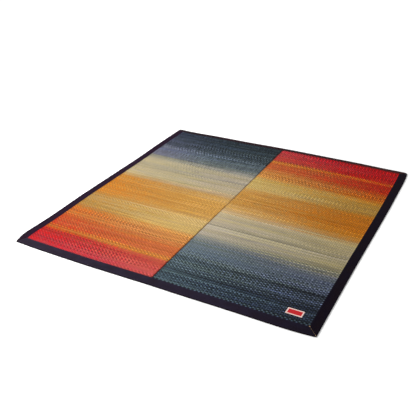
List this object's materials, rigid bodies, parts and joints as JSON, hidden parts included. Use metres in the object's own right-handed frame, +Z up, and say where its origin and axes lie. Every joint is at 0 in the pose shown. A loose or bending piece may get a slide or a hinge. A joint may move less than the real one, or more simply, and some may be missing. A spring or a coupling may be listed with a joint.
{
  "type": "rush carpet",
  "caption": "Square floor mat of woven rush panels with blended stripes, mitred dark cloth binding and a small plain sewn label.",
  "frame": {"origin": "on the floor under the middle of the carpet's outline", "axes": "+Z up out of the rush, +X along the rushes from the left panel to the right one, +Y along the centre seam from the labelled side to the back"},
  "size_m": [1.9147, 1.9183, 0.0068],
  "materials": {
    "rush": "dyed woven rush in blended stripes from dark slate blue through straw and orange to crimson, low satin sheen",
    "binding_cloth": "matt plain-woven cloth, very dark navy",
    "label_weave": "woven label, plain red field with a white edge"
  },
  "bodies": {
    "root": {"panel_left": "rush", "panel_right": "rush", "binding_front": "binding_cloth", "binding_back": "binding_cloth", "binding_left": "binding_cloth", "binding_right": "binding_cloth", "label": "label_weave"}
  },
  "joints": []
}
